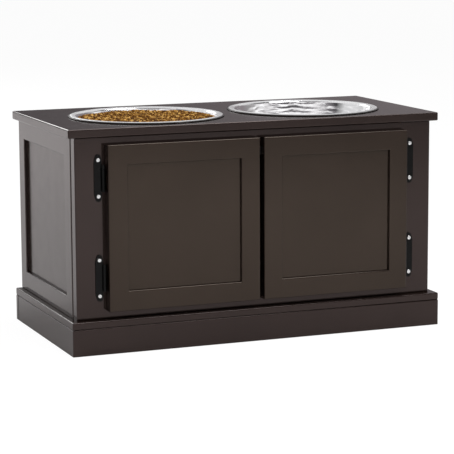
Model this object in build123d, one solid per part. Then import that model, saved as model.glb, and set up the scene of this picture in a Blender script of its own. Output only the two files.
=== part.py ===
from build123d import *
import os

# ------------------------------------------------------------------------------------------------
# Elevated dog feeder with a storage cabinet below two lift-out bowls. Millimetres, +Z up.
# The origin is on the floor, in the middle of the width and of the depth. The front faces -Y.
# ------------------------------------------------------------------------------------------------

# Top board
height = 335.5  # floor to the upper face of the top board
top_t = 13.0
top_overhang = 10.0  # top board past each side of the cabinet
top_setback = 7.5  # front edge of the top board behind the front of the plinth
top_ease = 2.0

# Plinth: a shelf board on four skirts
plinth_step = 10.0  # plinth past each side of the cabinet
plinth_d = 303.5
plinth_h = 51.0  # floor to the upper face of the shelf
shelf_t = 11.0
shelf_ease = 2.0
skirt_t = 12.0
skirt_ease = 1.5
rear_seam = 2.5  # open seam between a side skirt and the back skirt
block_s = 24.0  # side of the square glue blocks in the plinth corners
block_h = 32.0

# Cabinet box
cabinet_w = 582.0  # over the outer faces of the sides
frame_setback = 14.5  # face frame behind the front of the plinth
face_t = 18.0
face_inset = 1.0  # ends of the face frame inside the outer faces of the sides
face_stile_w = 60.0
face_rail_w = 26.0
side_t = 15.0
side_stile_w = 29.0
side_rail_w = 30.0
frame_ease = 1.6
panel_t = 4.5  # thin panels of the sides and the doors
panel_setback = 5.0  # face of a frame to the face of its thin panel
groove_depth = 6.0  # groove that holds a thin panel
panel_clear = 0.3  # edge of a thin panel to the bottom of its groove
back_t = 4.0
back_rabbet_w = 7.0
back_inset = 1.0  # back panel in front of the rear faces of the sides
rear_rail_t = 15.0
rear_rail_h = 40.0
stretcher_w = 18.0
stretcher_h = 25.0

# Doors
door_t = 15.0
door_stile_w = 30.0
door_rail_w = 30.0
door_side_margin = 47.5  # cabinet edge to the outer edge of a door
door_top_margin = 11.0  # underside of the top board to the top of a door
door_bottom_margin = 12.5  # shelf to the bottom of a door
door_gap = 7.0  # between the two doors

# Hinges, measured from the pin's axis
hinge_inset = 49.5  # end of a door to the middle of its hinge
leaf_t = 1.5  # frame wing
door_leaf_t = 1.3  # door wing, which lies between the door and the face frame
leaf_clear = 0.2  # door wing to face frame
pin_r = 1.5
pin_fit = 0.05  # radial clearance of the pin in its knuckles
knuckle_r = 2.8
knuckle_h = 40.0
end_knuckle_h = 9.0  # frame wing's knuckle at each end
knuckle_gap = 0.3
pin_offset = 3.6  # outer edge of a door to the pin's axis
pin_stand = 4.0  # pin's axis in front of the face frame
wing_w = 13.5  # pin's axis to the outer edge of the frame wing
wing_h = 71.0
wing_straight_h = 50.0  # straight outer edge between the two tapered tips
wing_tip_w = 3.5
wing_shoulder_h = 55.0
wing_clear = 1.9  # pin's axis to the inner edge of the frame wing
wing_corner_r = 1.2
wing_screw_x = 7.2
wing_screw_pitch = 54.0
door_leaf_w = 33.5
door_leaf_h = 34.0
door_screw_x = 17.0
door_screw_pitch = 24.0

# Fasteners
fit = 0.05  # radial clearance of a screw, dowel or nail in its hole
end_clear = 0.5  # past the tip of a fastener
hinge_screw = dict(shank_r=1.6, length=14.0, head_r=3.2, head_h=1.8)
door_screw = dict(shank_r=1.5, length=11.0, head_r=2.8, head_h=1.3)
shelf_screw = dict(shank_r=2.2, length=34.0, head_r=4.2, head_h=3.0)
top_screw = dict(shank_r=1.8, length=32.0, head_r=3.6, head_h=2.4)
catch_screw = dict(shank_r=1.4, length=12.0, head_r=2.6, head_h=1.5)
cross_w = 0.8  # cross recess in a pan head
cross_l = 3.6
cross_depth = 1.1
dowel_r = 3.0
dowel_l = 28.0
nail_r = 0.8
nail_l = 14.0
nail_head_r = 2.2
nail_head_h = 0.7
nail_inset = 3.5  # edge of the back panel to a nail
nail_rows = 3
nail_columns = 10

# Magnetic catch at the middle of the face frame's top rail
catch_w = 46.0
catch_d = 14.0
catch_h = 13.0
catch_ease = 1.5
catch_screw_x = 5.0
strike_w = 12.0
strike_h = 10.0
strike_t = 1.0

# Bowls
bowl_gap = 22.8  # between the rims of the two bowls
bowl_front_clear = 4.6  # back of the face frame to the wall of a bowl
bowl_mouth_r = 108.0
flange_w = 12.3  # mouth to the outer edge of the rim
bead_r = 0.8  # rolled edge
seat_gap = 0.1  # rolled edge above the top board
mouth_z = 1.2  # mouth of the bowl above the top board, before its edge is rounded
crown_x = 5.6  # mouth to the highest line of the rim
crown_rise = 2.1  # mouth to the highest line of the rim, before it is rounded
bowl_base_r = 90.0
bowl_depth = 58.0  # top board to the underside of the bowl
bowl_base_round = 16.0
bowl_mouth_round = 4.0
crown_round = 9.0
bowl_t = 0.9
cutout_clear = 2.6  # bowl's wall, without its rounded mouth, to the edge of the cut-out
food_drop = 2.6  # top board to the dry food between its lumps
food_clear = 0.3
lump_r = 16.0
lump_h = 2.6  # lump above the food around it
lump_pitch = 34.0

# ------------------------------------------------------------------------------------------------
# Planes and levels that follow from the sizes
# ------------------------------------------------------------------------------------------------
top_w = cabinet_w + 2 * top_overhang
plinth_w = cabinet_w + 2 * plinth_step
door_stand = door_leaf_t + leaf_clear  # back of a door in front of the face frame
door_reach = max(0.0, door_stand + door_t - frame_setback)  # doors in front of the plinth
y_back = (plinth_d + door_reach) / 2
y_plinth = y_back - plinth_d
y_frame = y_plinth + frame_setback
y_top = y_plinth + top_setback
y_door = y_frame - door_stand - door_t
y_side = y_frame + face_t
top_d = y_back - y_top
side_d = y_back - y_side
z_shelf = plinth_h
z_under = height - top_t
box_h = z_under - z_shelf
skirt_h = plinth_h - shelf_t
x_side = cabinet_w / 2 - side_t  # inner face of a side
y_outer_back = y_back - back_inset
y_inner_back = y_outer_back - back_t
door_x = cabinet_w / 2 - door_side_margin
door_w = door_x - door_gap / 2
door_h = box_h - door_top_margin - door_bottom_margin
z_door = z_shelf + door_bottom_margin
hinge_levels = dict(lower=z_door + hinge_inset, upper=z_door + door_h - hinge_inset)
hinge_x = door_x + pin_offset
hinge_y = y_frame - pin_stand
rim_r = bowl_mouth_r + flange_w
bowl_x = bowl_gap / 2 + rim_r
bowl_y = y_side + bowl_front_clear + bowl_t + bowl_mouth_r
cutout_r = bowl_mouth_r + bowl_t + cutout_clear

parts = {}
cuts = {}  # node name -> tools that are cut out of it


def cut_from(names, tool):
    """Note a tool, such as a screw hole, that is cut out of each named node."""
    for name in names:
        cuts.setdefault(name, []).append(tool)


def block(x0, x1, y0, y1, z0, z1):
    """Box between two corners."""
    size = Box(x1 - x0, y1 - y0, z1 - z0)
    return Pos((x0 + x1) / 2, (y0 + y1) / 2, (z0 + z1) / 2) * size


def mirrored(shape):
    """The same piece on the other side of the middle plane."""
    return mirror(shape, about=Plane.YZ)


# ------------------------------------------------------------------------------------------------
# Fasteners. Each one is made pointing along +Z with its head at z = 0, then placed.
# ------------------------------------------------------------------------------------------------
def screw_body(shank_r, length, head_r, head_h, pan=False):
    """Pan-head screw, its head below z = 0, or a countersunk one, its head in the first stretch."""
    tip = 2 * shank_r
    shank = Pos(0, 0, (length - tip) / 2) * Cylinder(shank_r, length - tip)
    point = Pos(0, 0, length - tip / 2) * Cone(shank_r, shank_r / 5, tip)
    if pan:
        head = Pos(0, 0, -head_h / 2) * Cylinder(head_r, head_h)
        head = fillet(head.edges().group_by(Axis.Z)[0], head_h * 0.6)
        slot = Box(cross_l, cross_w, cross_depth) + Box(cross_w, cross_l, cross_depth)
        head -= Pos(0, 0, -head_h + cross_depth / 2) * slot
    else:
        head = Pos(0, 0, head_h / 2) * Cone(head_r, shank_r, head_h)
    return head + shank + point


def screw_hole(shank_r, length, head_r, head_h, pan=False):
    """Room for the same screw."""
    reach = length + end_clear
    hole = Pos(0, 0, reach / 2) * Cylinder(shank_r + fit, reach)
    if not pan:
        hole += Pos(0, 0, head_h / 2) * Cone(head_r + fit, shank_r + fit, head_h)
    return hole


def place(location, size, names, pan=False):
    """One screw at a location, with its hole noted on the nodes that it goes through."""
    cut_from(names, location * screw_hole(**size, pan=pan))
    return location * screw_body(**size, pan=pan)


def dowel(location, names):
    """Wooden dowel centred on a joint, along the location's Z."""
    cut_from(names, location * Cylinder(dowel_r + fit, dowel_l + 2 * end_clear))
    return location * Cylinder(dowel_r, dowel_l)


# ------------------------------------------------------------------------------------------------
# Frames: outer face on y = 0, standing on z = 0, centred on x
# ------------------------------------------------------------------------------------------------
def frame_pieces(w, h, t, stile_w, rail_w, groove=0.0, ease_rear=False):
    """Two stiles and two rails with eased edges, and a groove for a thin panel between them."""
    opening_w = w - 2 * stile_w
    opening_h = h - 2 * rail_w
    ring = Pos(0, t / 2, h / 2) * (Box(w, t, h) - Box(opening_w, t, opening_h))
    ring = fillet(ring.edges().group_by(Axis.Y)[0], frame_ease)
    if ease_rear:
        rear = ring.edges().group_by(Axis.Y)[-1].filter_by(Axis.Z)
        outer = [edge for edge in rear if abs(edge.center().X) > opening_w / 2 + stile_w / 2]
        ring = fillet(outer, frame_ease)
    if groove:
        seat = Box(opening_w + 2 * groove, panel_t, opening_h + 2 * groove)
        ring -= Pos(0, panel_setback + panel_t / 2, h / 2) * seat
    x0 = w / 2 - stile_w
    return dict(
        left_stile=ring & block(-w / 2, -x0, 0, t, 0, h),
        right_stile=ring & block(x0, w / 2, 0, t, 0, h),
        bottom_rail=ring & block(-x0, x0, 0, t, 0, rail_w),
        top_rail=ring & block(-x0, x0, 0, t, h - rail_w, h),
    )


def thin_panel(w, h, t, stile_w, rail_w):
    """Panel in the groove of such a frame."""
    panel_w = w - 2 * (stile_w - groove_depth + panel_clear)
    panel_h = h - 2 * (rail_w - groove_depth + panel_clear)
    return Pos(0, panel_setback + panel_t / 2, h / 2) * Box(panel_w, panel_t, panel_h)


def corner_dowels(w, h, t, stile_w, rail_w, location, names):
    """A dowel in each of the four corner joints of such a frame."""
    made = []
    for side, stile in ((-1, names["left_stile"]), (1, names["right_stile"])):
        for z, rail in ((rail_w / 2, names["bottom_rail"]), (h - rail_w / 2, names["top_rail"])):
            joint = Pos(side * (w / 2 - stile_w), t / 2, z) * Rot(0, 90, 0)
            made.append(dowel(location * joint, [stile, rail]))
    return made


def add_frame(prefix, sizes, location, renamed=None, groove=0.0, ease_rear=False):
    """Store the four pieces of a frame under their names, and return the names."""
    renamed = renamed or {}
    names = {}
    for key, piece in frame_pieces(**sizes, groove=groove, ease_rear=ease_rear).items():
        names[key] = f"{prefix}_{renamed.get(key, key)}"
        parts[names[key]] = location * piece
    return names


# ------------------------------------------------------------------------------------------------
# Plinth
# ------------------------------------------------------------------------------------------------
def plinth():
    half_w = plinth_w / 2
    shelf = block(-half_w, half_w, y_plinth, y_back, skirt_h, z_shelf)
    parts["plinth_shelf"] = fillet(shelf.edges(), shelf_ease)

    outer = block(-half_w, half_w, y_plinth, y_back, 0, skirt_h)
    eased = outer.edges().filter_by(Axis.Z) + outer.edges().group_by(Axis.Z)[-1]
    outer = fillet(eased, skirt_ease)
    x_in = half_w - skirt_t
    y_in = y_plinth + skirt_t
    y_rear = y_back - skirt_t
    ring = outer - block(-x_in, x_in, y_in, y_rear, 0, skirt_h)
    front = [(-half_w, y_plinth), (half_w, y_plinth), (x_in, y_in), (-x_in, y_in)]
    left = [(-half_w, y_plinth), (-x_in, y_in), (-x_in, y_rear - rear_seam), (-half_w, y_rear - rear_seam)]
    parts["plinth_front_skirt"] = ring & extrude(make_face(Polyline(front, close=True)), skirt_h)
    parts["plinth_left_skirt"] = ring & extrude(make_face(Polyline(left, close=True)), skirt_h)
    parts["plinth_right_skirt"] = mirrored(parts["plinth_left_skirt"])
    parts["plinth_back_skirt"] = ring & block(-half_w, half_w, y_rear, y_back, 0, skirt_h)

    blocks = []
    for x0 in (-x_in, x_in - block_s):
        for y0 in (y_in, y_rear - block_s):
            blocks.append(block(x0, x0 + block_s, y0, y0 + block_s, skirt_h - block_h, skirt_h))
    parts["plinth_glue_blocks"] = blocks


# ------------------------------------------------------------------------------------------------
# Cabinet box
# ------------------------------------------------------------------------------------------------
def face_frame():
    w = cabinet_w - 2 * face_inset
    sizes = dict(w=w, h=box_h, t=face_t, stile_w=face_stile_w, rail_w=face_rail_w)
    location = Pos(0, y_frame, z_shelf)
    names = add_frame("face_frame", sizes, location, ease_rear=True)
    return corner_dowels(**sizes, location=location, names=names)


def cabinet_sides():
    sizes = dict(w=side_d, h=box_h, t=side_t, stile_w=side_stile_w, rail_w=side_rail_w)
    y_middle = (y_side + y_back) / 2
    made = []
    ends = dict(
        left=(-1, -90, dict(left_stile="rear_stile", right_stile="front_stile")),
        right=(1, 90, dict(left_stile="front_stile", right_stile="rear_stile")),
    )
    for end, (sign, turn, renamed) in ends.items():
        location = Pos(sign * cabinet_w / 2, y_middle, z_shelf) * Rot(0, 0, turn)
        names = add_frame(f"{end}_side", sizes, location, renamed, groove=groove_depth)
        parts[f"{end}_side_panel"] = location * thin_panel(**sizes)
        made += corner_dowels(**sizes, location=location, names=names)
        front = f"{end}_side_front_stile"
        for z in (z_shelf + box_h / 4, z_under - box_h / 4):
            joint = Pos(sign * (x_side + side_t / 2), y_side, z) * Rot(90, 0, 0)
            made.append(dowel(joint, [front, f"face_frame_{end}_stile"]))
        cut_from([f"{end}_side_rear_stile"], back_panel_rabbet())
    return made


def back_panel_rabbet():
    """Room for the back panel in the rear stiles."""
    half_w = x_side + back_rabbet_w + panel_clear
    return block(-half_w, half_w, y_inner_back, y_back, z_shelf, z_under)


def back_and_inner_rails():
    half_w = x_side + back_rabbet_w
    parts["back_panel"] = block(-half_w, half_w, y_inner_back, y_outer_back, z_shelf, z_under)
    y_rail = y_inner_back - rear_rail_t
    parts["rear_top_rail"] = block(-x_side, x_side, y_rail, y_inner_back, z_under - rear_rail_h, z_under)
    half_s = stretcher_w / 2
    parts["centre_stretcher"] = block(-half_s, half_s, y_side, y_rail, z_under - stretcher_h, z_under)
    made = []
    joint_depth = dowel_l / 2 - side_t * 2 / 3  # the dowel's middle, so that it stays inside the side
    for sign, end in ((-1, "left"), (1, "right")):
        for z in (z_under - rear_rail_h * 3 / 4, z_under - rear_rail_h / 4):
            joint = Pos(sign * (x_side - joint_depth), y_rail + rear_rail_t / 2, z) * Rot(0, 90, 0)
            made.append(dowel(joint, ["rear_top_rail", f"{end}_side_rear_stile"]))
    return made


def back_nails():
    """Nails along both sides of the back panel and along the rear top rail."""
    spots = []
    x_edge = x_side + back_rabbet_w - nail_inset
    for row in range(nail_rows):
        z = z_shelf + box_h * (row + 0.5) / nail_rows
        spots += [(-x_edge, z), (x_edge, z)]
    for column in range(nail_columns):
        x = -x_side + 2 * x_side * (column + 0.5) / nail_columns
        spots.append((x, z_under - rear_rail_h / 2))
    nails = []
    for x, z in spots:
        location = Pos(x, y_outer_back, z) * Rot(90, 0, 0)
        shank = Pos(0, 0, nail_l / 2) * Cylinder(nail_r, nail_l)
        head = Pos(0, 0, -nail_head_h / 2) * Cylinder(nail_head_r, nail_head_h)
        nails.append(location * (shank + head))
        reach = nail_l + end_clear
        hole = location * Pos(0, 0, reach / 2) * Cylinder(nail_r + fit, reach)
        cut_from(["back_panel", "rear_top_rail", "left_side_rear_stile", "right_side_rear_stile"], hole)
    parts["back_panel_nails"] = nails


def cabinet_screws():
    """Screws up through the shelf, and screws up through the rails into the top board."""
    x_rail = cabinet_w / 2 - side_t / 2
    y_face = y_frame + face_t / 2
    low = []
    for end, sign in (("left", -1), ("right", 1)):
        for y in (y_side + side_stile_w * 2, y_back - side_stile_w * 2):
            spot = Pos(sign * x_rail, y, skirt_h)
            low.append(place(spot, shelf_screw, ["plinth_shelf", f"{end}_side_bottom_rail"]))
    for x in (-x_side / 2, 0, x_side / 2):
        spot = Pos(x, y_face, skirt_h)
        low.append(place(spot, shelf_screw, ["plinth_shelf", "face_frame_bottom_rail"]))
    parts["shelf_screws"] = low

    high = []
    for x in (-x_side / 2, x_side / 2):
        spot = Pos(x, y_face, z_under - face_rail_w)
        high.append(place(spot, top_screw, ["face_frame_top_rail", "top_board"]))
    y_rail = y_inner_back - rear_rail_t / 2
    for x in (-x_side * 2 / 3, 0, x_side * 2 / 3):
        spot = Pos(x, y_rail, z_under - stretcher_h)
        cut_from(["rear_top_rail"], driver_well(x, y_rail))
        high.append(place(spot, top_screw, ["rear_top_rail", "top_board"]))
    for y in (y_side + side_stile_w, y_inner_back - rear_rail_t - side_stile_w):
        spot = Pos(0, y, z_under - stretcher_h)
        high.append(place(spot, top_screw, ["centre_stretcher", "top_board"]))
    parts["top_board_screws"] = high


def driver_well(x, y):
    """Wide hole below a screw head in the rear top rail, where the rail is taller than the screw needs."""
    depth = rear_rail_h - stretcher_h
    return Pos(x, y, z_under - stretcher_h - depth / 2) * Cylinder(top_screw["head_r"] + fit, depth)


# ------------------------------------------------------------------------------------------------
# Top board
# ------------------------------------------------------------------------------------------------
def top_board():
    board = block(-top_w / 2, top_w / 2, y_top, y_back, z_under, height)
    board = fillet(board.edges(), top_ease)
    for sign in (-1, 1):
        board -= Pos(sign * bowl_x, bowl_y, height - top_t / 2) * Cylinder(cutout_r, top_t)
    parts["top_board"] = board


# ------------------------------------------------------------------------------------------------
# Hinges. Made for the left door around the pin's axis, the middle of the hinge at z = 0.
# ------------------------------------------------------------------------------------------------
def knuckle(z0, z1, foot):
    """One knuckle with the foot that joins it to its wing, on the wing's side of the pin."""
    barrel = Cylinder(knuckle_r, z1 - z0) + foot
    return Pos(0, 0, (z0 + z1) / 2) * (barrel - Cylinder(pin_r + pin_fit, 2 * (z1 - z0)))


def frame_wing():
    half = wing_h / 2
    tip_x = wing_screw_x
    upper = [
        (-wing_w, wing_straight_h / 2),
        (-tip_x - wing_tip_w, half - wing_tip_w / 2),
        (-tip_x, half),
        (-tip_x + wing_tip_w, half - wing_tip_w / 2),
        (-wing_clear, wing_shoulder_h / 2),
    ]
    outline = upper + [(x, -z) for x, z in reversed(upper)]
    face = make_face(Plane.XZ * Polyline(outline, close=True))
    plate = Pos(0, pin_stand, 0) * extrude(face, leaf_t, dir=(0, -1, 0))
    plate = fillet(plate.edges().filter_by(Axis.Y), wing_corner_r)
    z0 = knuckle_h / 2 - end_knuckle_h
    foot = block(-knuckle_r, 0, 0, pin_stand, -end_knuckle_h / 2, end_knuckle_h / 2)
    end = knuckle(z0, knuckle_h / 2, foot)
    return plate + end + mirror(end, about=Plane.XY)


def door_wing():
    z1 = knuckle_h / 2 - end_knuckle_h - knuckle_gap
    y_leaf = pin_stand - leaf_clear
    foot = block(0, knuckle_r, 0, y_leaf, -z1, z1)
    leaf = block(pin_offset, door_leaf_w, y_leaf - door_leaf_t, y_leaf, -door_leaf_h / 2, door_leaf_h / 2)
    corners = leaf.edges().filter_by(Axis.Y).group_by(Axis.X)[-1]
    leaf = fillet(corners, 2 * wing_corner_r)
    neck = block(0, pin_offset, y_leaf - door_leaf_t, y_leaf, -z1, z1)
    return knuckle(-z1, z1, foot) + neck + leaf


def hinges():
    wing = frame_wing()
    leaf = door_wing()
    pins = []
    frame_screws = []
    for end, sign in (("left", -1), ("right", 1)):
        door_screws = []
        for level, z in hinge_levels.items():
            spot = Pos(-hinge_x, hinge_y, z)
            wing_name = f"{end}_{level}_hinge_frame_wing"
            leaf_name = f"{end}_{level}_hinge_door_wing"
            parts[wing_name] = spot * wing
            parts[leaf_name] = spot * leaf
            pins.append(Pos(sign * hinge_x, hinge_y, z) * Cylinder(pin_r, knuckle_h))
            if sign > 0:
                parts[wing_name] = mirrored(parts[wing_name])
                parts[leaf_name] = mirrored(parts[leaf_name])
            for dz in (-wing_screw_pitch / 2, wing_screw_pitch / 2):
                x = sign * (hinge_x + wing_screw_x)
                at = Pos(x, y_frame - leaf_t, z + dz) * Rot(-90, 0, 0)
                names = [wing_name, f"face_frame_{end}_stile"]
                frame_screws.append(place(at, hinge_screw, names, pan=True))
            for dz in (-door_screw_pitch / 2, door_screw_pitch / 2):
                x = sign * (hinge_x - door_screw_x)
                at = Pos(x, y_frame - leaf_clear, z + dz) * Rot(90, 0, 0)
                names = [leaf_name, f"{end}_door_{end}_stile"]
                door_screws.append(place(at, door_screw, names))
        parts[f"{end}_door_hinge_screws"] = door_screws
    parts["hinge_pins"] = pins
    parts["hinge_frame_screws"] = frame_screws


# ------------------------------------------------------------------------------------------------
# Doors and catch
# ------------------------------------------------------------------------------------------------
def doors():
    sizes = dict(w=door_w, h=door_h, t=door_t, stile_w=door_stile_w, rail_w=door_rail_w)
    for end, sign in (("left", -1), ("right", 1)):
        location = Pos(sign * (door_gap / 2 + door_w / 2), y_door, z_door)
        names = add_frame(f"{end}_door", sizes, location, groove=groove_depth)
        parts[f"{end}_door_panel"] = location * thin_panel(**sizes)
        parts[f"{end}_door_dowels"] = corner_dowels(**sizes, location=location, names=names)


def catch():
    z1 = z_under - face_rail_w
    body = block(-catch_w / 2, catch_w / 2, y_frame, y_frame + catch_d, z1 - catch_h, z1)
    body = fillet(body.edges().filter_by(Axis.Y), catch_ease)
    parts["door_catch"] = body
    screws = []
    for x in (-catch_screw_x, catch_screw_x):
        spot = Pos(x, y_frame + catch_d / 2, z1 - catch_h / 2)
        well = Pos(x, y_frame + catch_d / 2, z1 - catch_h * 3 / 4)
        cut_from(["door_catch"], well * Cylinder(catch_screw["head_r"] + fit, catch_h / 2))
        screws.append(place(spot, catch_screw, ["door_catch", "face_frame_top_rail"]))
    parts["door_catch_screws"] = screws
    z_strike = z1 - catch_h / 2
    x0 = door_gap / 2 + (catch_w / 2 - door_gap / 2 - strike_w) / 2
    y0 = y_door + door_t
    strike = block(x0, x0 + strike_w, y0, y0 + strike_t, z_strike - strike_h / 2, z_strike + strike_h / 2)
    parts["right_door_strike"] = strike
    parts["left_door_strike"] = mirrored(strike)


# ------------------------------------------------------------------------------------------------
# Bowls. The path is the inner face, as (radius, height above the top board), from the middle out.
# ------------------------------------------------------------------------------------------------
bowl_path = [
    (0, -bowl_depth + bowl_t),
    (bowl_base_r, -bowl_depth + bowl_t),
    (bowl_mouth_r, mouth_z),
    (bowl_mouth_r + crown_x, mouth_z + crown_rise),
    (rim_r - bead_r, seat_gap + 2 * bead_r),
]


def shifted_path(path, distance):
    """The path moved sideways, each run parallel to its old place. Positive is outwards and down."""
    runs = []
    for (r0, z0), (r1, z1) in zip(path, path[1:]):
        along = Vector(r1 - r0, z1 - z0).normalized()
        side = Vector(along.Y, -along.X) * distance
        runs.append((Vector(r0, z0) + side, along))
    points = [runs[0][0]]
    for (a, u), (b, v) in zip(runs, runs[1:]):
        cross = u.X * v.Y - u.Y * v.X
        reach = ((b.X - a.X) * v.Y - (b.Y - a.Y) * v.X) / cross
        points.append(a + u * reach)
    last = Vector(*path[-1]) + side
    points.append(last)
    return [(p.X, p.Y) for p in points]


def rounded(path, *radii):
    """Smooth line through a path, turned up into the XZ plane."""
    return Plane.XZ * FilletPolyline(path, radius=radii)


def turned(*lines):
    """Body of revolution from lines that close a section."""
    return revolve(make_face(Curve() + list(lines)), Axis.Z)


def bowl():
    outer_path = shifted_path(bowl_path, bowl_t)
    inner = rounded(bowl_path, bowl_base_round, bowl_mouth_round, crown_round)
    outer = rounded(outer_path, bowl_base_round + bowl_t, bowl_mouth_round - bowl_t, crown_round - bowl_t)
    axis_end = Plane.XZ * Line(bowl_path[0], outer_path[0])
    rim_end = Plane.XZ * Line(bowl_path[-1], outer_path[-1])
    shell = turned(inner, rim_end, outer, axis_end)
    bead = Pos(0, 0, seat_gap + bead_r) * Torus(rim_r - bead_r, bead_r)
    return shell + bead


def lump_places(reach):
    """Middles of the lumps, in staggered rows inside a circle."""
    row_step = lump_pitch * 3**0.5 / 2
    rows = int(reach / row_step)
    for row in range(-rows, rows + 1):
        shift = lump_pitch / 2 * (row % 2)
        columns = int(reach / lump_pitch) + 1
        for column in range(-columns, columns + 1):
            x = shift + column * lump_pitch
            y = row * row_step
            if (x * x + y * y) ** 0.5 <= reach:
                yield x, y


def dry_food():
    """Fill of the left bowl, heaped in low lumps."""
    path = shifted_path(bowl_path, -food_clear)[:3]
    surface_z = -food_drop
    side = rounded(path, bowl_base_round - food_clear)
    lid = Plane.XZ * Polyline(path[-1], (0, path[-1][1]), path[0])
    fill = turned(side, lid)
    high = bowl_depth
    fill -= Pos(0, 0, surface_z + high / 2) * Cylinder(rim_r, high)
    ball_r = (lump_r**2 + lump_h**2) / (2 * lump_h)
    ball = Pos(0, 0, surface_z + lump_h - ball_r) * Sphere(ball_r)
    cap = ball - Pos(0, 0, surface_z - ball_r) * Box(2 * ball_r, 2 * ball_r, 2 * ball_r)
    surface_r = fill.faces().sort_by(Axis.Z)[-1].bounding_box().size.X / 2
    for x, y in lump_places(surface_r - lump_r):
        fill += Pos(x, y, 0) * cap
    return fill


def bowls():
    shape = bowl()
    parts["left_bowl"] = Pos(-bowl_x, bowl_y, height) * shape
    parts["right_bowl"] = Pos(bowl_x, bowl_y, height) * shape
    parts["dry_food"] = Pos(-bowl_x, bowl_y, height) * dry_food()


# ------------------------------------------------------------------------------------------------
# Assembly
# ------------------------------------------------------------------------------------------------
plinth()
frame_dowels = face_frame() + cabinet_sides() + back_and_inner_rails()
parts["cabinet_dowels"] = frame_dowels
top_board()
back_nails()
cabinet_screws()
doors()
hinges()
catch()
bowls()

for name, tools in cuts.items():
    parts[name] = parts[name] - tools

os.makedirs("parts", exist_ok=True)
for name, shape in parts.items():
    if isinstance(shape, list):
        shape = Compound([solid for piece in shape for solid in piece.solids()])
    export_step(shape, f"parts/{name}.step")
print(len(parts), "nodes")
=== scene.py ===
import math
import random

import bpy
import numpy as np
from mathutils import Matrix, Vector
from mathutils.bvhtree import BVHTree


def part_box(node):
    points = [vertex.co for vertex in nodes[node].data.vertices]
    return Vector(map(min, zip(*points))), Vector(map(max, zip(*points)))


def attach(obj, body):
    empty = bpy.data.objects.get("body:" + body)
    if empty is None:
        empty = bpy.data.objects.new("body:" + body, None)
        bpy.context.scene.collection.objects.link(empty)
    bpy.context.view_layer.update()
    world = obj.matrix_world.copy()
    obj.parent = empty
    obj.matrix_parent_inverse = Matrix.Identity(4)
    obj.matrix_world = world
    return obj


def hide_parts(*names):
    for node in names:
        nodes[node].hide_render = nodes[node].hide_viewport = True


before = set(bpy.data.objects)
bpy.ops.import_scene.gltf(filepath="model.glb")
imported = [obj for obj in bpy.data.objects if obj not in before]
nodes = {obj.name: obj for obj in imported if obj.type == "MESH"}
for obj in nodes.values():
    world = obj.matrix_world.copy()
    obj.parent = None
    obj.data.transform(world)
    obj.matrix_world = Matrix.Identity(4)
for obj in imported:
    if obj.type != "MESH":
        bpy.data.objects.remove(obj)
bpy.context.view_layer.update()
MM = 0.001  # lengths are in metres

# ------------------------------------------------------------------------------------------------
# Camera, from the photograph's viewing angle
# ------------------------------------------------------------------------------------------------
CAMERA_AZIMUTH = -21.737
CAMERA_ELEVATION = 9.257
CAMERA_ROLL = -0.284
CAMERA_DISTANCE = 3.1873
CAMERA_TARGET = Vector((0.0029, -0.0006, 0.1525))
CAMERA_LENS = 159.77
CAMERA_SENSOR = 36
CAMERA_CLIP_END = 50


def make_camera():
    azimuth = math.radians(CAMERA_AZIMUTH)
    elevation = math.radians(CAMERA_ELEVATION)
    roll = math.radians(CAMERA_ROLL)
    level = math.cos(elevation)
    back = Vector((math.sin(azimuth) * level, -math.cos(azimuth) * level, math.sin(elevation)))
    right = (-back).cross(Vector((0, 0, 1))).normalized()
    up = back.cross(right)
    turned_right = math.cos(roll) * right + math.sin(roll) * up
    turned_up = math.cos(roll) * up - math.sin(roll) * right
    data = bpy.data.cameras.new("camera")
    data.lens = CAMERA_LENS
    data.sensor_width = CAMERA_SENSOR
    data.clip_end = CAMERA_CLIP_END
    camera = bpy.data.objects.new("camera", data)
    bpy.context.scene.collection.objects.link(camera)
    rotation = Matrix((turned_right, turned_up, back)).transposed().to_4x4()
    camera.matrix_world = Matrix.Translation(CAMERA_TARGET + back * CAMERA_DISTANCE) @ rotation
    bpy.context.scene.camera = camera


# ------------------------------------------------------------------------------------------------
# Node helpers
# ------------------------------------------------------------------------------------------------
NOISE_SPAN = (0.3, 0.7)  # most of a noise texture's values lie in here
NONE_TO_ALL = (0.0, 1.0)
WHITE = (1, 1, 1, 1)
BLACK = (0, 0, 0, 1)


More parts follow.
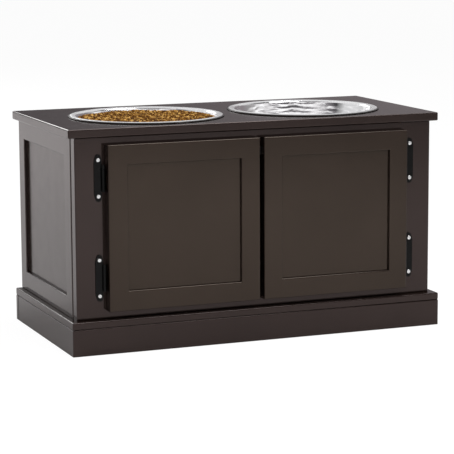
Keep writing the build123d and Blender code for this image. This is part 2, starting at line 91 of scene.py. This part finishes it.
class Nodes:
    """Short way to add and link nodes in one material or world."""

    def __init__(self, tree):
        self.tree = tree
        tree.nodes.clear()

    def add(self, kind, inputs=None, **settings):
        node = self.tree.nodes.new(kind)
        for key, value in settings.items():
            setattr(node, key, value)
        for key, value in (inputs or {}).items():
            self.set(node, key, value)
        return node

    def set(self, node, key, value):
        if isinstance(value, bpy.types.NodeSocket):
            self.tree.links.new(value, node.inputs[key])
        else:
            node.inputs[key].default_value = value

    def position(self):
        return self.add("ShaderNodeTexCoord").outputs["Object"]

    def math(self, operation, a, b):
        return self.add("ShaderNodeMath", {0: a, 1: b}, operation=operation).outputs[0]

    def vector(self, operation, *vectors, output="Vector"):
        inputs = dict(enumerate(vectors))
        return self.add("ShaderNodeVectorMath", inputs, operation=operation).outputs[output]

    def stretched(self, vector, scale):
        return self.add("ShaderNodeMapping", {"Vector": vector, "Scale": scale}).outputs[0]

    def noise(self, vector, scale, detail=3.0, roughness=0.5):
        inputs = {"Vector": vector, "Scale": scale, "Detail": detail, "Roughness": roughness}
        return self.add("ShaderNodeTexNoise", inputs).outputs["Fac"]

    def spread(self, value, span, out=NONE_TO_ALL):
        """The value, with one span of it spread over another and clamped there."""
        inputs = {0: value, 1: span[0], 2: span[1], 3: out[0], 4: out[1]}
        return self.add("ShaderNodeMapRange", inputs).outputs[0]

    def ramp(self, value, stops):
        node = self.add("ShaderNodeValToRGB", {"Fac": value})
        elements = node.color_ramp.elements
        while len(elements) < len(stops):
            elements.new(0.5)
        for element, (position, color) in zip(elements, stops):
            element.position = position
            element.color = (*color, 1)
        return node.outputs["Color"]

    def tones(self, value, dark, light, span=NOISE_SPAN):
        return self.ramp(value, [(span[0], dark), (span[1], light)])

    def mix(self, factor, first, second):
        inputs = {0: factor, 6: first, 7: second}
        return self.add("ShaderNodeMix", inputs, data_type="RGBA").outputs[2]

    def bump(self, height, strength, distance, **inputs):
        inputs.update(Height=height, Strength=strength, Distance=distance)
        return self.add("ShaderNodeBump", inputs).outputs[0]

    def principled(self, color, roughness, normal, **inputs):
        """Principled shader. Underscores in the names of further inputs stand for spaces."""
        inputs = {key.replace("_", " "): value for key, value in inputs.items()}
        inputs.update({"Base Color": color, "Roughness": roughness, "Normal": normal})
        return self.add("ShaderNodeBsdfPrincipled", inputs).outputs[0]

    def background(self, color, strength):
        inputs = {"Color": color, "Strength": strength}
        return self.add("ShaderNodeBackground", inputs).outputs[0]

    def mix_shader(self, factor, first, second):
        return self.add("ShaderNodeMixShader", {0: factor, 1: first, 2: second}).outputs[0]

    def surface(self, shader, output="ShaderNodeOutputMaterial"):
        self.add(output, {"Surface": shader})


def new_material(name):
    material = bpy.data.materials.new(name)
    material.use_nodes = True
    return material, Nodes(material.node_tree)


# ------------------------------------------------------------------------------------------------
# Materials. Colours are linear, noise scales are per metre, and bump distances are in metres.
# ------------------------------------------------------------------------------------------------
PAINT_DARK = (0.0100, 0.0058, 0.0046)
PAINT_LIGHT = (0.0145, 0.0088, 0.0072)
PAINT_SHEEN = (1.0, 0.80, 0.77, 1)  # tint of the gloss where a face is seen square on
DOOR_SHEEN = (1.0, 0.81, 0.66, 1)
PANEL_SHEEN = (0.90, 0.71, 0.68, 1)
PAINT_ROUGHNESS = 0.12
PANEL_ROUGHNESS = 0.20
PAINT_UNEVENNESS = 0.03  # of the roughness, either way
ORANGE_PEEL = 0.03

WOOD_DARK = (0.42, 0.27, 0.14)
WOOD_LIGHT = (0.68, 0.50, 0.31)
HINGE_DARK = (0.002, 0.002, 0.002)
HINGE_LIGHT = (0.004, 0.004, 0.004)
BRIGHT_DARK = (0.80, 0.80, 0.80)
BRIGHT_LIGHT = (0.92, 0.92, 0.92)
ZINC_DARK = (0.42, 0.42, 0.40)
ZINC_LIGHT = (0.60, 0.60, 0.57)
PLASTIC_DARK = (0.014, 0.014, 0.014)
PLASTIC_LIGHT = (0.024, 0.024, 0.024)

STEEL_DARK = (0.80, 0.80, 0.81)
STEEL_LIGHT = (0.90, 0.90, 0.91)
STEEL_RIM_SHADE = (0.05, 0.045, 0.045, 1)  # painted shade on the rolled edge, standing for its contact shadow and dark reflection
RIM_SHADE_BAND = (2.9 * MM, 2.2 * MM)  # distances in from the rim's outline: the painted shade on the rolled edge begins
SATIN_BAND = (13.0 * MM, 10.5 * MM)  # distances in from the rim's outline: the satin rim begins
SATIN_ROUGHNESS = 0.24  # of the rim, on top of the bowl's own
RING_DRIFT = 0.006  # wander of the rings, either way
WALL_SPAN = (-0.055, -0.035)  # heights below the rim over which the waves grow from base to wall
BASE_WAVES = 0.15  # strength of the waves on the base
OUTER_WAVES = 0.2  # strength of the waves on the outer face

KIBBLE_TONES = [
    (0.12, (0.045, 0.015, 0.003)), (0.45, (0.120, 0.045, 0.007)),
    (0.80, (0.340, 0.170, 0.033)), (1.0, (0.620, 0.370, 0.110))]
# painted shade: colours of the dark bed under the food pieces, which stands for the shade in the gaps
# between them
SHADE_BED_DARK = (0.016, 0.006, 0.002)
SHADE_BED_LIGHT = (0.055, 0.022, 0.006)


def paint(name, sheen, roughness=PAINT_ROUGHNESS):
    """Sprayed paint: a faint mottle, fine orange peel and a slightly uneven gloss."""
    material, n = new_material(name)
    where = n.position()
    mottle = n.noise(where, scale=9.0, detail=4.0)
    color = n.tones(mottle, PAINT_DARK, PAINT_LIGHT, span=(0.35, 0.65))
    uneven = (roughness - PAINT_UNEVENNESS, roughness + PAINT_UNEVENNESS)
    gloss = n.spread(n.noise(where, scale=45.0), NOISE_SPAN, uneven)
    bump = n.bump(n.noise(where, scale=900.0, detail=2.0), strength=ORANGE_PEEL, distance=0.0004)
    n.surface(n.principled(color, gloss, bump, IOR=1.5, Specular_Tint=sheen))
    return material


def bare_wood(name):
    """Unfinished softwood for the dowels and glue blocks."""
    material, n = new_material(name)
    along_grain = n.stretched(n.position(), scale=(1.0, 1.0, 0.12))
    grain = n.noise(along_grain, scale=260.0, detail=6.0, roughness=0.65)
    color = n.tones(grain, WOOD_DARK, WOOD_LIGHT)
    n.surface(n.principled(color, 0.75, n.bump(grain, strength=0.25, distance=0.0005)))
    return material


def black_metal(name):
    """Semi-gloss powder coat of the hinges."""
    material, n = new_material(name)
    where = n.position()
    grain = n.noise(where, scale=1800.0, detail=2.0)
    color = n.tones(n.noise(where, scale=60.0), HINGE_DARK, HINGE_LIGHT)
    gloss = n.spread(grain, NOISE_SPAN, (0.16, 0.30))
    bump = n.bump(grain, strength=0.12, distance=0.0003)
    n.surface(n.principled(color, gloss, bump, Specular_IOR_Level=0.14))
    return material


def plated_metal(name, dark, light, roughness):
    """Plated fasteners and small steel parts."""
    material, n = new_material(name)
    cloud = n.noise(n.position(), scale=700.0, detail=4.0)
    color = n.tones(cloud, dark, light)
    gloss = n.spread(cloud, NOISE_SPAN, (roughness - 0.06, roughness + 0.06))
    bump = n.bump(cloud, strength=0.08, distance=0.0002)
    n.surface(n.principled(color, gloss, bump, Metallic=1.0))
    return material


def catch_plastic(name):
    """Fine-grained black moulding of the door catch."""
    material, n = new_material(name)
    grain = n.noise(n.position(), scale=1500.0)
    color = n.tones(grain, PLASTIC_DARK, PLASTIC_LIGHT)
    n.surface(n.principled(color, 0.5, n.bump(grain, strength=0.3, distance=0.0002)))
    return material


def bowl_steel(name, centre, rim_radius):
    """Polished stainless steel with faint rings and waves from spinning, around the bowl's own axis. The
    rim is satin, and its rolled edge is darkened by painted shade, which stands for the rim's contact
    shadow and its dark reflection."""
    material, n = new_material(name)
    where = n.position()
    offset = n.vector("SUBTRACT", where, centre)
    flat = n.vector("MULTIPLY", offset, (1, 1, 0))
    radius = n.vector("LENGTH", flat, output="Value")
    height = n.add("ShaderNodeSeparateXYZ", {0: offset}).outputs["Z"]
    cloud = n.noise(where, scale=22.0)
    drift = n.spread(cloud, NOISE_SPAN, (-RING_DRIFT, RING_DRIFT))
    profile = {0: n.math("ADD", radius, drift), 1: height, 2: drift}
    along = n.add("ShaderNodeCombineXYZ", profile).outputs[0]
    rings = n.noise(along, scale=2600.0, roughness=0.6)
    waves = n.noise(along, scale=95.0, detail=1.0)

    normal = n.add("ShaderNodeTexCoord").outputs["Normal"]
    outward = n.vector("DOT_PRODUCT", normal, flat, output="Value")
    inside = n.spread(outward, (-0.01, 0.01), (1.0, OUTER_WAVES))
    walls = n.math("MULTIPLY", n.spread(height, WALL_SPAN, (BASE_WAVES, 1.0)), inside)
    fine = n.bump(rings, strength=0.02, distance=0.0002)
    bump = n.bump(waves, strength=walls, distance=0.0006, Normal=fine)

    # painted shade: the rim's rolled edge is darkened to stand for its contact shadow and dark reflection
    edge = n.spread(radius, (rim_radius - RIM_SHADE_BAND[0], rim_radius - RIM_SHADE_BAND[1]))
    color = n.mix(edge, n.tones(cloud, STEEL_DARK, STEEL_LIGHT), STEEL_RIM_SHADE)
    polish = n.math("ADD", n.spread(cloud, NOISE_SPAN, (0.04, 0.08)),
                    n.spread(rings, NOISE_SPAN, (0.0, 0.04)))
    satin = n.spread(radius, (rim_radius - SATIN_BAND[0], rim_radius - SATIN_BAND[1]),
                     (0.0, SATIN_ROUGHNESS))
    n.surface(n.principled(color, n.math("ADD", polish, satin), bump, Metallic=1.0))
    return material


def kibble(name):
    """Baked crust: each piece has its own tone, with a rough, dusty surface."""
    material, n = new_material(name)
    tone = n.add("ShaderNodeNewGeometry").outputs["Random Per Island"]
    crust = n.noise(n.position(), scale=900.0, detail=5.0, roughness=0.65)
    mixed = n.math("ADD", n.math("MULTIPLY", tone, 0.9), n.math("MULTIPLY", crust, 0.30))
    color = n.ramp(mixed, KIBBLE_TONES)
    bump = n.bump(crust, strength=0.55, distance=0.0006)
    n.surface(n.principled(color, 0.7, bump, Specular_IOR_Level=0.05))
    return material


def shade_bed(name):
    """Painted shade: a dark bed under the pieces, standing for the shade in the gaps between them."""
    material, n = new_material(name)
    grain = n.noise(n.position(), scale=700.0, detail=5.0, roughness=0.7)
    color = n.tones(grain, SHADE_BED_DARK, SHADE_BED_LIGHT, span=(0.35, 0.65))
    bump = n.bump(grain, strength=0.8, distance=0.0010)
    n.surface(n.principled(color, 0.8, bump, Specular_IOR_Level=0.1))
    return material


# ------------------------------------------------------------------------------------------------
# Dry food: pieces heaped in the left bowl
# ------------------------------------------------------------------------------------------------
PIECE_RADIUS = 2.2 * MM
PIECE_HALF_THICKNESS = 1.6 * MM
PIECE_SEGMENTS = 8
PIECE_RINGS = 4
PIECE_VARIANTS = 8
POLE_LEVEL = 0.9  # flattened top and bottom of a piece, over its half thickness
SIDE_FULLNESS = 0.7  # below 1, the sides of a piece bulge
LOBES = 2  # waves in a piece's outline
LOBE_SIZE = (0.02, 0.08)
LOBE_COUNT = (2, 4)
GROWTH = (0.82, 1.12)  # size of one piece over that of the plain one
OVALNESS = (0.8, 1.0)  # width of one piece over its length
LEAN = 0.4  # standard deviation, in radians
SETTLING = (-0.5 * MM, 0.5 * MM)

PIECE_SPACING = 3.4 * MM
PLACING_TRIES = 60000
LAYER_STEP = 1.5 * MM
LAYERS = 2
FOOD_WALL_GAP = 0.6 * MM
TOP_LAYER_DROP = 0.9 * MM  # heap's surface to the middles of the top layer
HEAP_LEVEL = 1.6 * MM  # top of the solid food to the heap's middle height
HEAP_WAVE = 0.65  # height of the heap's lumps over that of the solid food's
BED_SIDES = 96
BED_DROP = 3.9 * MM  # heap's middle height to the dark bed of painted shade under the pieces
SEED = 7


def piece_mesh(rng):
    """One piece: a flattened round form with a slightly irregular outline."""
    lobes = [(rng.uniform(*LOBE_SIZE), rng.randint(*LOBE_COUNT), rng.uniform(0, math.tau))
             for _ in range(LOBES)]
    vertices = [(0, 0, -POLE_LEVEL)]
    for ring in range(1, PIECE_RINGS):
        tilt = math.pi * ring / PIECE_RINGS
        level = -math.cos(tilt)
        reach = math.sin(tilt) ** SIDE_FULLNESS
        for step in range(PIECE_SEGMENTS):
            turn = math.tau * step / PIECE_SEGMENTS
            wave = 1 + sum(size * math.sin(count * turn + phase) for size, count, phase in lobes)
            vertices.append((reach * wave * math.cos(turn), reach * wave * math.sin(turn), level))
    vertices.append((0, 0, POLE_LEVEL))
    last = len(vertices) - 1
    top = last - PIECE_SEGMENTS
    faces = []
    for step in range(PIECE_SEGMENTS):
        after = (step + 1) % PIECE_SEGMENTS
        faces.append((0, 1 + after, 1 + step))
        faces.append((last, top + step, top + after))
        for ring in range(PIECE_RINGS - 2):
            low = 1 + ring * PIECE_SEGMENTS
            high = low + PIECE_SEGMENTS
            faces.append((low + step, low + after, high + after, high + step))
    return np.array(vertices), faces


def scattered_points(rng, radius, spacing):
    """Points in a disc, none nearer to another than the spacing."""
    points = []
    cells = {}
    around = [(i, j) for i in (-1, 0, 1) for j in (-1, 0, 1)]
    for _ in range(PLACING_TRIES):
        reach = radius * math.sqrt(rng.random())
        turn = math.tau * rng.random()
        x, y = reach * math.cos(turn), reach * math.sin(turn)
        column, row = int(x // spacing), int(y // spacing)
        near = [q for i, j in around for q in cells.get((column + i, row + j), [])]
        if all((x - a) ** 2 + (y - b) ** 2 >= spacing ** 2 for a, b in near):
            cells.setdefault((column, row), []).append((x, y))
            points.append((x, y))
    return points


def heap_heights(node):
    """Function from a place to the height of the node's upper surface there."""
    mesh = nodes[node].data
    tree = BVHTree.FromPolygons([v.co for v in mesh.vertices], [p.vertices for p in mesh.polygons])

    def height(x, y):
        return tree.ray_cast(Vector((x, y, 1.0)), Vector((0, 0, -1)))[0].z

    return height


def make_dry_food():
    rng = random.Random(SEED)
    low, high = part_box("dry_food")
    centre = (low + high) / 2
    radius = (high.x - low.x) / 2 - FOOD_WALL_GAP
    height = heap_heights("dry_food")
    level = high.z - HEAP_LEVEL
    variants = [piece_mesh(rng) for _ in range(PIECE_VARIANTS)]
    vertices = []
    faces = []
    for layer in range(LAYERS):
        for x, y in scattered_points(rng, radius - PIECE_RADIUS, PIECE_SPACING):
            shape, shape_faces = variants[rng.randrange(PIECE_VARIANTS)]
            growth = rng.uniform(*GROWTH)
            width = PIECE_RADIUS * rng.uniform(*OVALNESS)
            scale = np.array([PIECE_RADIUS, width, PIECE_HALF_THICKNESS]) * growth
            turn = Matrix.Rotation(rng.uniform(0, math.tau), 3, "Z")
            lean = Matrix.Rotation(rng.gauss(0, LEAN), 3, "X")
            spin = Matrix.Rotation(rng.uniform(0, math.tau), 3, "Z")
            rotation = np.array(turn @ lean @ spin)
            lump = height(centre.x + x, centre.y + y)
            top = level + HEAP_WAVE * (lump - level)
            drop = TOP_LAYER_DROP + layer * LAYER_STEP + rng.uniform(*SETTLING)
            place = np.array([centre.x + x, centre.y + y, top - drop])
            start = len(vertices)
            vertices.extend((shape * scale) @ rotation.T + place)
            faces.extend(tuple(start + k for k in face) for face in shape_faces)
    # dark bed under the pieces: a sheet of painted shade for the gaps between them
    start = len(vertices)
    bed_face = len(faces)
    for step in range(BED_SIDES):
        turn = math.tau * step / BED_SIDES
        x = centre.x + radius * math.cos(turn)
        y = centre.y + radius * math.sin(turn)
        vertices.append((x, y, level - BED_DROP))
    faces.append(tuple(range(start, start + BED_SIDES)))
    mesh = bpy.data.meshes.new("dry_food_pieces")
    mesh.from_pydata([tuple(v) for v in vertices], [], faces)
    mesh.polygons.foreach_set("use_smooth", [True] * len(mesh.polygons))
    mesh.materials.append(kibble("kibble"))
    mesh.materials.append(shade_bed("food_shade_bed"))
    mesh.polygons[bed_face].material_index = 1
    mesh.update()
    piece = bpy.data.objects.new("dry_food_pieces", mesh)
    bpy.context.scene.collection.objects.link(piece)
    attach(piece, "left_bowl")
    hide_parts("dry_food")


# ------------------------------------------------------------------------------------------------
# Finish of the nodes
# ------------------------------------------------------------------------------------------------
def dress_bowl(name):
    low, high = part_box(name)
    rim_centre = ((low.x + high.x) / 2, (low.y + high.y) / 2, high.z)
    return bowl_steel(f"{name}_steel", rim_centre, (high.x - low.x) / 2)


def dress_nodes():
    painted = paint("cabinet_paint", PAINT_SHEEN)
    door_painted = paint("door_paint", DOOR_SHEEN)
    panel_painted = paint("side_panel_paint", PANEL_SHEEN, PANEL_ROUGHNESS)
    wood = bare_wood("bare_wood")
    black = black_metal("hinge_black")
    bright = plated_metal("bright_plating", BRIGHT_DARK, BRIGHT_LIGHT, roughness=0.22)
    zinc = plated_metal("zinc_plating", ZINC_DARK, ZINC_LIGHT, roughness=0.38)
    plastic = catch_plastic("catch_plastic")
    for name, node in nodes.items():
        if name.endswith("_bowl"):
            material = dress_bowl(name)
        elif "wing" in name or name == "hinge_pins":
            material = black
        elif name == "hinge_frame_screws":
            material = bright
        elif "screws" in name or "nails" in name or "strike" in name:
            material = zinc
        elif "dowels" in name or "glue_blocks" in name:
            material = wood
        elif name == "door_catch":
            material = plastic
        elif "door" in name:
            material = door_painted
        elif "side_panel" in name:
            material = panel_painted
        else:
            material = painted
        node.data.materials.clear()
        node.data.materials.append(material)


# ------------------------------------------------------------------------------------------------
# Studio. In the world, across, depth and up are a direction's parts along +X, +Y and +Z.
# ------------------------------------------------------------------------------------------------
PATCH_STRETCH = (0.5, 0.5, 8.0)  # long across, thin upwards
PATCH_TONES = [
    (0.42, (0.02, 0.02, 0.02)), (0.50, (0.18, 0.17, 0.18)),
    (0.55, (0.85, 0.83, 0.84)), (0.63, (1.4, 1.4, 1.4))]
LOW_TINT = (1.0, 0.90, 0.94, 1)
LOW_ACROSS = (0.27, 0.46)  # where the backdrop near the floor grows paler
LOW_BRIGHTNESS = (0.12, 0.27)
RISE_SLANT = 0.35  # fall of the backdrop's bright part towards the right
RISE_SPAN = (0.07, 0.15)
BRIGHT_BACKDROP = (1.1, 1.1, 1.1, 1)
BACKDROP_PATCHES = 0.35  # share of the patches in the backdrop's bright part
FRONT_LOW = (0.35, 0.34, 0.34, 1)
FRONT_RISE = (0.24, 0.34)  # heights over which the patches begin in front
FRONT_DEPTH = (0.25, -0.05)  # from the backdrop to the room in front
DIFFUSE_LIGHT = 0.4  # strength of the world to rays that aren't glossy

FLOOR_HALF_SIZE = 12.0
FLOOR_DARK = (0.70, 0.70, 0.70)
FLOOR_LIGHT = (0.74, 0.74, 0.74)
FLOOR_SHADE = (0.12, 0.12, 0.12, 1)  # what the floor that the camera sees takes of the shadow
FLOOR_GLOW = 0.92

FLOOR_TINT = (1.0, 0.94, 0.945)
PLAIN = (1, 1, 1)
SOFT_BOXES = [  # name, location, target, width, height, power, colour, seen in gloss
    ("rear_strip", (-0.69, 3.96, 1.93), (0, 0, 0.335), 2.2, 0.8, 26, PLAIN, True),
    ("floor_left_box", (-1.8, 1.9, 1.5), (-1.8, 1.9, 0.0), 0.9, 3.2, 48, FLOOR_TINT, False),
    ("floor_front_box", (0.15, -1.95, 1.4), (0.15, -1.95, 0.0), 1.2, 2.4, 25, PLAIN, False),
    ("top_box", (0.8, -0.5, 2.6), (0.0, 0.0, 0.3), 1.1, 1.1, 32, PLAIN, True),
]


def make_soft_box(name, location, target, width, height, power, color, in_gloss):
    data = bpy.data.lights.new(name, "AREA")
    data.shape = "RECTANGLE"
    data.size = width
    data.size_y = height
    data.energy = power
    data.color = color
    lamp = bpy.data.objects.new(name, data)
    lamp.location = location
    lamp.rotation_euler = (Vector(target) - Vector(location)).to_track_quat("-Z", "Y").to_euler()
    lamp.visible_camera = False
    lamp.visible_glossy = in_gloss
    bpy.context.scene.collection.objects.link(lamp)


def make_world():
    """Studio around the object. Behind it, a backdrop that gloss sees dark near the floor, paler to the
    right, and bright higher up and to the left. In front of it, a room of pale and dark patches above a
    plain grey, which streaks the polished bowls."""
    world = bpy.data.worlds.new("studio")
    world.use_nodes = True
    bpy.context.scene.world = world
    n = Nodes(world.node_tree)
    ray = n.add("ShaderNodeLightPath").outputs
    direction = n.add("ShaderNodeTexCoord").outputs["Generated"]
    across, depth, up = n.add("ShaderNodeSeparateXYZ", {0: direction}).outputs
    patches = n.ramp(n.noise(n.stretched(direction, PATCH_STRETCH), scale=1.0), PATCH_TONES)

    low = n.mix(n.spread(across, LOW_ACROSS, LOW_BRIGHTNESS), BLACK, LOW_TINT)
    bright = n.mix(BACKDROP_PATCHES, BRIGHT_BACKDROP, patches)
    slanted_up = n.math("SUBTRACT", up, n.math("MULTIPLY", across, RISE_SLANT))
    behind = n.mix(n.spread(slanted_up, RISE_SPAN), low, bright)
    front = n.mix(n.spread(up, FRONT_RISE), FRONT_LOW, patches)
    room = n.mix(n.spread(depth, FRONT_DEPTH), behind, front)

    lighting = n.background(WHITE, DIFFUSE_LIGHT)
    reflected = n.background(room, 1.0)
    seen = n.background(WHITE, 1.0)
    glossy = n.mix_shader(ray["Is Glossy Ray"], lighting, reflected)
    view = n.mix_shader(ray["Is Camera Ray"], glossy, seen)
    n.surface(view, output="ShaderNodeOutputWorld")


def make_floor():
    """Pale floor. It is white to the camera but for a faint shadow, and plain pale grey to other rays."""
    material, n = new_material("floor")
    ray = n.add("ShaderNodeLightPath").outputs
    color = n.tones(n.noise(n.position(), scale=30.0, detail=4.0), FLOOR_DARK, FLOOR_LIGHT)
    plain = n.add("ShaderNodeBsdfDiffuse", {"Color": color}).outputs[0]
    shade = n.add("ShaderNodeBsdfDiffuse", {"Color": FLOOR_SHADE}).outputs[0]
    glow = n.add("ShaderNodeEmission", {"Color": WHITE, "Strength": FLOOR_GLOW}).outputs[0]
    bright = n.add("ShaderNodeAddShader", {0: shade, 1: glow}).outputs[0]
    n.surface(n.mix_shader(ray["Is Camera Ray"], plain, bright))
    size = FLOOR_HALF_SIZE
    corners = [(-size, -size, 0), (size, -size, 0), (size, size, 0), (-size, size, 0)]
    mesh = bpy.data.meshes.new("floor")
    mesh.from_pydata(corners, [], [(0, 1, 2, 3)])
    mesh.materials.append(material)
    floor = bpy.data.objects.new("floor", mesh)
    bpy.context.scene.collection.objects.link(floor)


bpy.context.scene.view_settings.view_transform = "Standard"
make_camera()
make_world()
make_floor()
for soft_box in SOFT_BOXES:
    make_soft_box(*soft_box)
dress_nodes()
make_dry_food()
